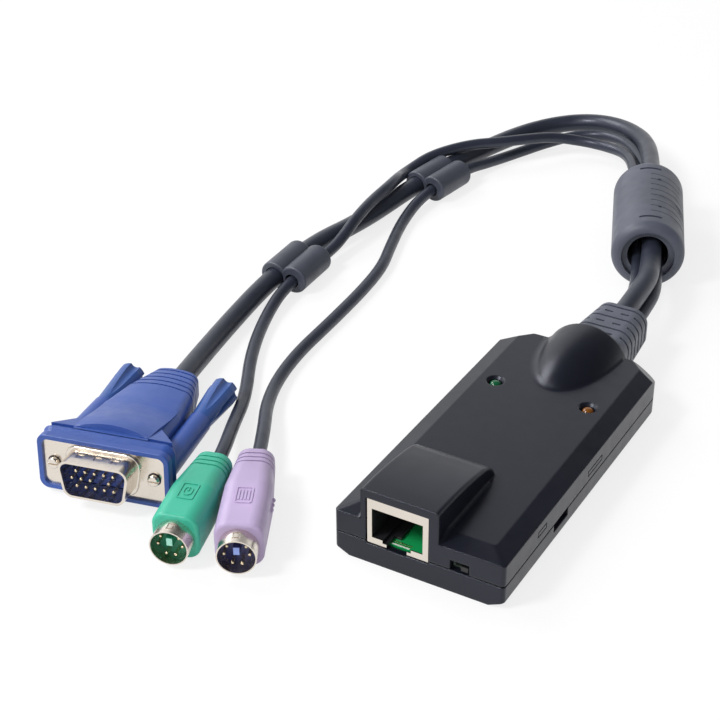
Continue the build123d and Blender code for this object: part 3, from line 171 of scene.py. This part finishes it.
# Floor, sky and lamps
FLOOR_SIZE = 3.0
FLOOR_SINK = 0.0001
FLOOR_WHITE = (0.92, 0.92, 0.92, 1)
FLOOR_GLOW = 0.78
WORLD_LIGHT = 0.50
OVERHEAD = 0.08
SKY_SLANT = (0.55, 0.0, 1.0)
SKY_BAND = (0.34, 0.62)
LAMP_TARGET = (-0.04, 0.06, 0.0)


class Shader:
    """A node material built step by step round one Principled shader."""

    def __init__(self, name, colour, roughness, metallic=0.0, **constants):
        self.material = bpy.data.materials.new(name)
        self.material.use_nodes = True
        self.tree = self.material.node_tree
        self.bsdf = self.tree.nodes["Principled BSDF"]
        self.bsdf.inputs["Base Color"].default_value = (*colour, 1.0)
        self.bsdf.inputs["Roughness"].default_value = roughness
        self.bsdf.inputs["Metallic"].default_value = metallic
        for socket, value in constants.items():
            self.bsdf.inputs[socket.replace("_", " ")].default_value = value
        self.position = self.tree.nodes.new("ShaderNodeTexCoord").outputs["Object"]
        self.normal = None

    def link(self, output, node_input):
        """One wire of the material's tree."""
        self.tree.links.new(output, node_input)

    def noise(self, scale, detail=2.0, stretch=(1, 1, 1)):
        """Noise in metres of the object's own frame, its grain scale per metre."""
        place = self.tree.nodes.new("ShaderNodeMapping")
        place.inputs["Scale"].default_value = stretch
        self.link(self.position, place.inputs["Vector"])
        texture = self.tree.nodes.new("ShaderNodeTexNoise")
        texture.inputs["Scale"].default_value = scale
        texture.inputs["Detail"].default_value = detail
        self.link(place.outputs["Vector"], texture.inputs["Vector"])
        return texture.outputs["Fac"]

    def spread(self, value, low, high):
        """A value from 0 to 1 spread between low and high, sharpened about its middle."""
        remap = self.tree.nodes.new("ShaderNodeMapRange")
        remap.inputs["From Min"].default_value = NOISE_MIDDLE[0]
        remap.inputs["From Max"].default_value = NOISE_MIDDLE[1]
        remap.inputs["To Min"].default_value = low
        remap.inputs["To Max"].default_value = high
        self.link(value, remap.inputs["Value"])
        return remap.outputs["Result"]

    def vary_roughness(self, scale, low, high, detail=3.0):
        """Gloss that changes from place to place."""
        self.link(self.spread(self.noise(scale, detail), low, high), self.bsdf.inputs["Roughness"])
        return self

    def vary_colour(self, scale, dark, light, detail=3.0):
        """Colour that changes between a darker and a lighter shade."""
        mix = self.tree.nodes.new("ShaderNodeMix")
        mix.data_type = "RGBA"
        mix.inputs["A"].default_value = (*dark, 1.0)
        mix.inputs["B"].default_value = (*light, 1.0)
        self.link(self.spread(self.noise(scale, detail), 0.0, 1.0), mix.inputs["Factor"])
        self.link(mix.outputs["Result"], self.bsdf.inputs["Base Color"])
        return self

    def soften(self, radius):
        """Edges rounded by a small radius."""
        bevel = self.tree.nodes.new("ShaderNodeBevel")
        bevel.inputs["Radius"].default_value = radius
        self.normal = bevel.outputs["Normal"]
        self.link(self.normal, self.bsdf.inputs["Normal"])
        return self

    def grain(self, scale, height, strength=1.0, detail=2.0, stretch=(1, 1, 1)):
        """A fine moulded grain, height in metres."""
        bump = self.tree.nodes.new("ShaderNodeBump")
        bump.inputs["Strength"].default_value = strength
        bump.inputs["Distance"].default_value = height
        self.link(self.noise(scale, detail, stretch), bump.inputs["Height"])
        if self.normal is not None:
            self.link(self.normal, bump.inputs["Normal"])
        self.normal = bump.outputs["Normal"]
        self.link(self.normal, self.bsdf.inputs["Normal"])
        return self


def plastic(name, colour, roughness, grain=PLASTIC_GRAIN_DEPTH, shade=0.12, **constants):
    """Moulded plastic or rubber: a slow change of shade, uneven gloss and a fine grain."""
    dark = tuple(c * (1 - shade) for c in colour)
    light = tuple(min(1.0, c * (1 + shade)) for c in colour)
    shader = Shader(name, colour, roughness, **constants)
    shader.vary_colour(SHADE_SCALE, dark, light)
    low, high = PLASTIC_GLOSS_SPREAD
    shader.vary_roughness(GLOSS_SCALE, roughness + low, roughness + high)
    if grain > 0:
        shader.grain(GRAIN_SCALE, grain)
    return shader


def metal(name, colour, roughness, **constants):
    """Plated metal with faint drawing marks."""
    shader = Shader(name, colour, roughness, 1.0, **constants)
    low, high = METAL_GLOSS_SPREAD
    shader.vary_roughness(METAL_GLOSS_SCALE, roughness + low, roughness + high)
    shader.grain(METAL_GRAIN_SCALE, METAL_GRAIN_DEPTH, detail=4.0, stretch=METAL_GRAIN_STRETCH)
    return shader


def case_plastic():
    """Blue-black case plastic with a satin skin and softly rounded edges."""
    shader = Shader("case_plastic", (0.007, 0.008, 0.014), 0.32, IOR=1.44, Specular_Tint=COOL_SHINE)
    shader.vary_colour(SHADE_SCALE, (0.006, 0.007, 0.012), (0.008, 0.009, 0.016))
    shader.vary_roughness(GLOSS_SCALE, 0.29, 0.35)
    shader.soften(CASE_EDGE_RADIUS)
    shader.grain(GRAIN_SCALE, FINE_GRAIN_DEPTH)
    return shader.material


def materials():
    """One material for each slot of the record, and a few for parts of their own colour."""
    return {
        "case_black": case_plastic(),
        "boot_grey": plastic("boot_rubber", (0.082, 0.090, 0.120), 0.46).material,
        "cable_grey": plastic("cable_jacket", (0.024, 0.028, 0.043), 0.34, grain=FINE_GRAIN_DEPTH,
                              Specular_Tint=COOL_SHINE).material,
        "ferrite_grey": plastic("ferrite_plastic", (0.072, 0.079, 0.108), 0.46).material,
        "sleeve_grey": plastic("sleeve_rubber", (0.050, 0.056, 0.078), 0.42).material,
        "ferrite": plastic("ferrite_ceramic", (0.02, 0.02, 0.022), 0.6).material,
        "board_green": plastic("solder_mask", (0.008, 0.33, 0.09), 0.3).material,
        "chip_black": plastic("chip_epoxy", (0.012, 0.012, 0.013), 0.5).material,
        "nickel": metal("nickel_plate", (0.74, 0.675, 0.60), 0.22).material,
        "gold": metal("gold_plate", (0.80, 0.60, 0.28), 0.25).material,
        "pin_brass": metal("pin_brass", (0.74, 0.62, 0.42), 0.25).material,
        "insert_black": plastic("insert_plastic", (0.015, 0.015, 0.018), 0.4).material,
        "insert_blue": plastic("blue_insert", (0.020, 0.060, 0.33), 0.35).material,
        "insert_green": plastic("green_insert", (0.014, 0.23, 0.125), 0.35).material,
        "insert_navy": plastic("navy_insert", (0.030, 0.034, 0.14), 0.35).material,
        "header_white": plastic("header_plastic", (0.6, 0.6, 0.55), 0.45).material,
        "lamp_green": plastic("green_lamp", (0.006, 0.09, 0.035), 0.10, grain=0).material,
        "lamp_amber": plastic("amber_lamp", (0.16, 0.055, 0.007), 0.10, grain=0).material,
        "switch_grey": plastic("switch_plastic", (0.10, 0.13, 0.11), 0.4).material,
        "slider_black": plastic("slider_plastic", (0.012, 0.012, 0.013), 0.4).material,
        "plug_blue": plastic("blue_plastic", (0.024, 0.070, 0.300), 0.38).material,
        "knob_blue": plastic("knob_plastic", (0.020, 0.072, 0.270), 0.36).material,
        "plug_green": plastic("green_plastic", (0.035, 0.395, 0.265), 0.42).material,
        "plug_purple": plastic("purple_plastic", (0.440, 0.345, 0.545), 0.42).material,
    }


OWN_FINISH = {
    "vga_insulator": "insert_blue",
    "mouse_plug_insert": "insert_green",
    "keyboard_plug_insert": "insert_navy",
    "vga_pins": "pin_brass",
    "mouse_plug_pins": "pin_brass",
    "keyboard_plug_pins": "pin_brass",
    "upper_sleeve": "sleeve_grey",
    "lower_sleeve": "sleeve_grey",
}


def dress_nodes(finishes):
    """Give each CAD node its own finish, or the one of its slot."""
    for part in frame["record"]["subparts"]:
        mesh = nodes[part["node"]].data
        mesh.materials.clear()
        mesh.materials.append(finishes[OWN_FINISH.get(part["node"], part["material_slot"])])


def lead(name, points, diameter, finish, node):
    """One lead as a smooth tube along its route."""
    curve = bpy.data.curves.new(name, "CURVE")
    curve.dimensions = "3D"
    curve.bevel_depth = diameter / 2
    curve.bevel_resolution = LEAD_ROUNDNESS
    curve.resolution_u = LEAD_FINENESS
    curve.use_fill_caps = True
    spline = curve.splines.new("NURBS")
    spline.points.add(len(points) - 1)
    for target, point in zip(spline.points, points):
        target.co = (*point, 1.0)
    spline.order_u = 3
    spline.use_endpoint_u = True
    piece = bpy.data.objects.new(name, curve)
    bpy.context.scene.collection.objects.link(piece)
    curve.materials.append(finish)
    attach(piece, "root")
    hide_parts(node)


def add_leads(finish):
    """The three leads, each as a smooth tube that stands in for its CAD lead."""
    lead("video_lead", VGA_ROUTE, VGA_DIAMETER, finish, "vga_cable")
    lead("mouse_lead", MOUSE_ROUTE, PS2_DIAMETER, finish, "mouse_cable")
    lead("keyboard_lead", KEYBOARD_ROUTE, PS2_DIAMETER, finish, "keyboard_cable")


def add_piece(name, vertices, faces, finish, smooth=False):
    """A mesh piece that stays with the case, in millimetres."""
    mesh = bpy.data.meshes.new(name)
    mesh.from_pydata([tuple(c * MM for c in v) for v in vertices], [], faces)
    mesh.validate()
    mesh.materials.append(finish)
    for polygon in mesh.polygons:
        polygon.use_smooth = smooth
    piece = bpy.data.objects.new(name, mesh)
    bpy.context.scene.collection.objects.link(piece)
    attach(piece, "root")


def sheet_faces(rows, width, closed=False):
    """Faces between the rows of a sheet; in a closed one each row's last vertex meets its first."""
    faces = []
    for row in range(rows - 1):
        this_row, next_row = row * width, (row + 1) * width
        for column in range(width if closed else width - 1):
            after = (column + 1) % width
            faces.append((this_row + column, this_row + after, next_row + after, next_row + column))
    return faces


def concave_strip(name, feet, corners, crowns, finish):
    """A concave fillet: each of its ribs curves from a foot, by a corner, up to a crown."""
    vertices = []
    for foot, corner, crown in zip(feet, corners, crowns):
        for step in range(ROOT_STEPS + 1):
            t = step / ROOT_STEPS
            vertices.append(tuple((1 - t) ** 2 * f + 2 * t * (1 - t) * c + t ** 2 * w
                                  for f, c, w in zip(foot, corner, crown)))
    faces = sheet_faces(len(feet), ROOT_STEPS + 1)
    add_piece(name, vertices, faces, finish, smooth=True)


def lid_height(y):
    """Height of the lid along its length, with its front and rear slopes."""
    front = LID_TOP - max(0.0, CASE_FRONT + FRONT_SLOPE - y) * LID_DROP / FRONT_SLOPE
    return front - max(0.0, y - CASE_REAR + REAR_SLOPE) * LID_DROP / REAR_SLOPE


def add_boss_root(finish):
    """Soft root all round the cable boss on the lid."""
    feet, corners, crowns = [], [], []
    grows_from, grows_to = BOSS_ROOT_GROWS
    for rib in range(BOSS_ROOT_RIBS + 1):
        angle = math.pi * rib / BOSS_ROOT_RIBS
        across, along = math.cos(angle), math.sin(angle)
        share = min(1.0, max(0.0, (rib / BOSS_ROOT_RIBS - grows_from) / (grows_to - grows_from)))
        root = BOSS_ROOTS[0] + (BOSS_ROOTS[1] - BOSS_ROOTS[0]) * share * share * (3 - 2 * share)
        # The lid slopes at the rear, so the place of the corner and its height settle in rounds
        z = LID_TOP
        for _ in range(SETTLING_ROUNDS):
            span = math.sqrt(1 - ((z - BOSS_Z) / BOSS_RADIUS) ** 2)
            y = CASE_REAR - BOSS_LENGTH * span * along
            z = lid_height(y)
        x = BOSS_X + BOSS_RADIUS * span * across
        outward = Vector((across / BOSS_RADIUS, -along / BOSS_LENGTH, 0)).normalized()
        corners.append((x, y, z))
        feet.append((x + outward.x * root, min(y + outward.y * root, CASE_REAR), z + ROOT_CLEAR))
        top = math.sqrt(1 - ((z + root - BOSS_Z) / BOSS_RADIUS) ** 2) * BOSS_ROOT_SKIN
        crowns.append((BOSS_X + BOSS_RADIUS * top * across,
                       CASE_REAR - BOSS_LENGTH * top * along, z + root))
    concave_strip("boss_root", feet, corners, crowns, finish)


def add_hood_roots(finish):
    """Soft roots along both sides of the jack hood."""
    stops = [CASE_FRONT + rib * HOOD_ROOT_STEP for rib in range(HOOD_ROOT_RIBS)]
    for name, x, side in (("hood_root_right", HOOD_RIGHT, 1), ("hood_root_left", HOOD_LEFT, -1)):
        feet = [(x + side * HOOD_ROOT, y, lid_height(y) + ROOT_CLEAR) for y in stops]
        corners = [(x, y, lid_height(y)) for y in stops]
        crowns = [(x + side * ROOT_CLEAR, y, lid_height(y) + HOOD_ROOT) for y in stops]
        concave_strip(name, feet, corners, crowns, finish)


def plug_matrix(at, turn, tilt=0.0):
    """From a plug's own frame in millimetres to the shared frame, still in millimetres."""
    right = Vector((math.cos(math.radians(turn)), math.sin(math.radians(turn)), 0))
    flat = Vector((-math.sin(math.radians(turn)), math.cos(math.radians(turn)), 0))
    sink = math.sin(math.radians(tilt))
    up = Vector((-sink * flat.x, -sink * flat.y, math.cos(math.radians(tilt))))
    ahead = up.cross(right)
    turned = Matrix((right, ahead, up)).transposed().to_4x4()
    return Matrix.Translation(at) @ turned


def add_shoulders(finish):
    """Sloped shoulders between the video plug's frame and its screw barrels."""
    place = plug_matrix(*VGA_PLACE)
    for name, side in (("left_shoulder", -1), ("right_shoulder", 1)):
        top = [(side * x, y, z) for x, y, z in SHOULDER_TOP]
        bottom = [(x, y, 0.0) for x, y, z in top]
        vertices = [tuple(place @ Vector(corner)) for corner in top + bottom]
        faces = [(0, 1, 2), (3, 5, 4), (0, 3, 4, 1), (1, 4, 5, 2), (2, 5, 3, 0)]
        add_piece(name, vertices, faces, finish)


def hood_top(x, y):
    """Height of the video plug hood's crowned top over its axis."""
    share = (y - HOOD_FRONT[0]) / (HOOD_BACK[0] - HOOD_FRONT[0])
    width = HOOD_FRONT[1] + share * (HOOD_BACK[1] - HOOD_FRONT[1])
    height = HOOD_FRONT[2] + share * (HOOD_BACK[2] - HOOD_FRONT[2])
    return height / 2 - HOOD_CROWN * width * (2 * x / width) ** 2


def add_hood_crest(finish):
    """The hood's crown where it rises over the frame's ridge."""
    place = plug_matrix(*VGA_PLACE)
    rows, columns = CREST_GRID
    lines = []
    for row in range(rows + 1):
        share = row / rows
        lift = (CREST_LIFT + CREST_SINK) * (1 - share) ** 2 * (1 + 2 * share) - CREST_SINK
        line = []
        for column in range(columns + 1):
            x = CREST_HALF * (2 * column / columns - 1)
            rise = 1 - (x / CREST_HALF) ** 2
            y = CREST_FRONT + share * (CREST_REAR - CREST_FRONT) + CREST_LEAN * rise * (1 - share)
            line.append((x, y, hood_top(x, y) + lift))
        lines.append(line)
    foot_y, foot_z = CREST_FOOT
    step_back, step_up = CREST_STEP
    foot = [(x, y - step_back, min(z, foot_z + step_up)) for x, y, z in lines[0]]
    apron = [(x, foot_y, min(z, foot_z)) for x, y, z in lines[0]]
    grid = [[(line[0][0], line[0][1], 0.0)] + line + [(line[-1][0], line[-1][1], 0.0)]
            for line in [apron, foot] + lines]
    vertices = [tuple(place @ Vector(spot)) for line in grid for spot in line]
    faces = sheet_faces(len(grid), len(grid[0]))
    add_piece("hood_crest", vertices, faces, finish)


def slab(name, place, corners, finish):
    """A small rectangular block between two opposite corners, low and high."""
    xs, ys, zs = zip(*corners)
    vertices = [tuple(place @ Vector((x, y, z))) for z in zs for y in ys for x in xs]
    faces = [(0, 2, 3, 1), (4, 5, 7, 6), (0, 1, 5, 4), (2, 6, 7, 3), (0, 4, 6, 2), (1, 3, 7, 5)]
    add_piece(name, vertices, faces, finish)


def add_key_tip_highlights():
    """Thin sheets on the ends of the key posts inside the round plugs, paler than the inserts as a
    painted highlight.
    """
    for name, place in (("mouse", MOUSE_PLACE), ("keyboard", KEYBOARD_PLACE)):
        # The paler colour of each sheet is a painted highlight, not a colour of the plug's own
        # plastic
        finish = plastic(f"{name}_tip_highlight_plastic", KEY_TIP_HIGHLIGHT_COLOURS[name], 0.3, grain=0).material
        slab(f"{name}_key_tip_highlight", plug_matrix(*place), KEY_TIP_HIGHLIGHT_SHEET, finish)


def add_nubs(finish):
    """Three moulding nubs on the keyboard plug's side."""
    place = plug_matrix(*KEYBOARD_PLACE)
    rings, sides = NUB_GRID
    faces = sheet_faces(rings + 1, sides, closed=True)
    for number, along in enumerate(NUBS_AT, 1):
        vertices = []
        for ring in range(rings + 1):
            lift = math.pi / 2 * ring / rings
            out = NUB_SIDE + NUB_RADIUS * math.sin(lift)
            radius = NUB_RADIUS * math.cos(lift)
            for side in range(sides):
                turn = math.tau * side / sides
                spot = Vector((out, along + radius * math.cos(turn), radius * math.sin(turn)))
                vertices.append(tuple(place @ spot))
        add_piece(f"nub_{number}", vertices, faces, finish, smooth=True)


def add_board_marks(finishes):
    """Gold pads and a printed strip on the board's front edge, inside the jack."""
    flat = Matrix.Identity(4)
    white = plastic("board_print", (0.75, 0.80, 0.75), 0.5).material
    slab("board_pads", flat, PADS_BEHIND, finishes["gold"])
    slab("board_pads_front", flat, PADS_FRONT, finishes["gold"])
    slab("board_strip", flat, PRINTED_STRIP, white)


def greater(tree, first, second):
    """The greater of two values in a node tree."""
    choice = tree.nodes.new("ShaderNodeMath")
    choice.operation = "MAXIMUM"
    tree.links.new(first, choice.inputs[0])
    tree.links.new(second, choice.inputs[1])
    return choice.outputs[0]


def add_floor():
    """A white floor that keeps a faint shadow of the object."""
    mesh = bpy.data.meshes.new("floor")
    half = FLOOR_SIZE / 2
    corners = [(-half, -half, 0), (half, -half, 0), (half, half, 0), (-half, half, 0)]
    mesh.from_pydata(corners, [], [(0, 1, 2, 3)])
    floor = bpy.data.objects.new("floor", mesh)
    bpy.context.scene.collection.objects.link(floor)
    floor.location.z = -FLOOR_SINK
    material = bpy.data.materials.new("floor_white")
    material.use_nodes = True
    tree = material.node_tree
    tree.nodes.clear()
    output = tree.nodes.new("ShaderNodeOutputMaterial")
    paper = tree.nodes.new("ShaderNodeBsdfDiffuse")
    paper.inputs["Color"].default_value = FLOOR_WHITE
    glow = tree.nodes.new("ShaderNodeEmission")
    glow.inputs["Color"].default_value = (1, 1, 1, 1)
    path = tree.nodes.new("ShaderNodeLightPath")
    seen = greater(tree, path.outputs["Is Camera Ray"], path.outputs["Is Glossy Ray"])
    seen = greater(tree, seen, path.outputs["Is Transmission Ray"])
    share = tree.nodes.new("ShaderNodeMath")
    share.operation = "MULTIPLY"
    share.inputs[1].default_value = FLOOR_GLOW
    tree.links.new(seen, share.inputs[0])
    mix = tree.nodes.new("ShaderNodeMixShader")
    tree.links.new(share.outputs[0], mix.inputs["Fac"])
    tree.links.new(paper.outputs[0], mix.inputs[1])
    tree.links.new(glow.outputs[0], mix.inputs[2])
    tree.links.new(mix.outputs[0], output.inputs["Surface"])
    mesh.materials.append(material)


def set_world():
    """White where it is seen, a softer even light, and reflections that darken overhead."""
    world = bpy.data.worlds.new("studio")
    bpy.context.scene.world = world
    world.use_nodes = True
    tree = world.node_tree
    background = tree.nodes["Background"]
    background.inputs["Color"].default_value = (1, 1, 1, 1)
    direction = tree.nodes.new("ShaderNodeTexCoord").outputs["Generated"]
    slant = tree.nodes.new("ShaderNodeVectorMath")
    slant.operation = "DOT_PRODUCT"
    slant.inputs[1].default_value = SKY_SLANT
    tree.links.new(direction, slant.inputs[0])
    sky = tree.nodes.new("ShaderNodeMapRange")
    sky.interpolation_type = "SMOOTHSTEP"
    sky.inputs["From Min"].default_value = SKY_BAND[0]
    sky.inputs["From Max"].default_value = SKY_BAND[1]
    sky.inputs["To Min"].default_value = 1.0
    sky.inputs["To Max"].default_value = OVERHEAD
    tree.links.new(slant.outputs["Value"], sky.inputs["Value"])
    path = tree.nodes.new("ShaderNodeLightPath")
    shine = tree.nodes.new("ShaderNodeMix")
    shine.inputs["A"].default_value = WORLD_LIGHT
    tree.links.new(path.outputs["Is Glossy Ray"], shine.inputs["Factor"])
    tree.links.new(sky.outputs["Result"], shine.inputs["B"])
    level = tree.nodes.new("ShaderNodeMix")
    level.inputs["B"].default_value = 1.0
    direct = greater(tree, path.outputs["Is Camera Ray"], path.outputs["Is Transmission Ray"])
    tree.links.new(direct, level.inputs["Factor"])
    tree.links.new(shine.outputs["Result"], level.inputs["A"])
    tree.links.new(level.outputs["Result"], background.inputs["Strength"])


def softbox(name, at, side, watts):
    """A square area lamp that faces the middle of the object."""
    light = bpy.data.lights.new(name, "AREA")
    light.shape = "RECTANGLE"
    light.size = side
    light.size_y = side
    light.energy = watts
    lamp = bpy.data.objects.new(name, light)
    lamp.location = at
    aim = Vector(LAMP_TARGET) - Vector(at)
    lamp.rotation_euler = aim.to_track_quat("-Z", "Y").to_euler()
    bpy.context.scene.collection.objects.link(lamp)


def add_lights():
    """A key lamp from the left, a weak fill in front and a small lamp for the front edges."""
    softbox("key_light", (-0.80, 0.15, 0.60), 0.5, 4.5)
    softbox("front_fill", (0.10, -0.80, 0.55), 0.6, 1.0)
    softbox("edge_light", (-0.38, -0.49, 0.66), 0.20, 5.0)


def add_camera():
    """The photograph's own viewpoint, lens and slight roll."""
    camera = bpy.data.cameras.new("camera")
    camera.sensor_fit = "HORIZONTAL"
    camera.sensor_width = CAMERA_SENSOR
    camera.lens = CAMERA_LENS
    viewer = bpy.data.objects.new("camera", camera)
    aim = Vector(CAMERA_TARGET) - Vector(CAMERA_AT)
    turn = aim.to_track_quat("-Z", "Y").to_matrix().to_4x4()
    viewer.matrix_world = Matrix.Translation(CAMERA_AT) @ turn @ Matrix.Rotation(CAMERA_ROLL, 4, "Z")
    bpy.context.scene.collection.objects.link(viewer)
    bpy.context.scene.camera = viewer


bpy.context.scene.view_settings.view_transform = "Standard"
finishes = materials()
dress_nodes(finishes)
add_leads(finishes["cable_grey"])
add_boss_root(finishes["case_black"])
add_hood_roots(finishes["case_black"])
add_shoulders(finishes["plug_blue"])
add_hood_crest(finishes["plug_blue"])
add_key_tip_highlights()
add_nubs(finishes["plug_purple"])
add_board_marks(finishes)
add_floor()
set_world()
add_lights()
add_camera()
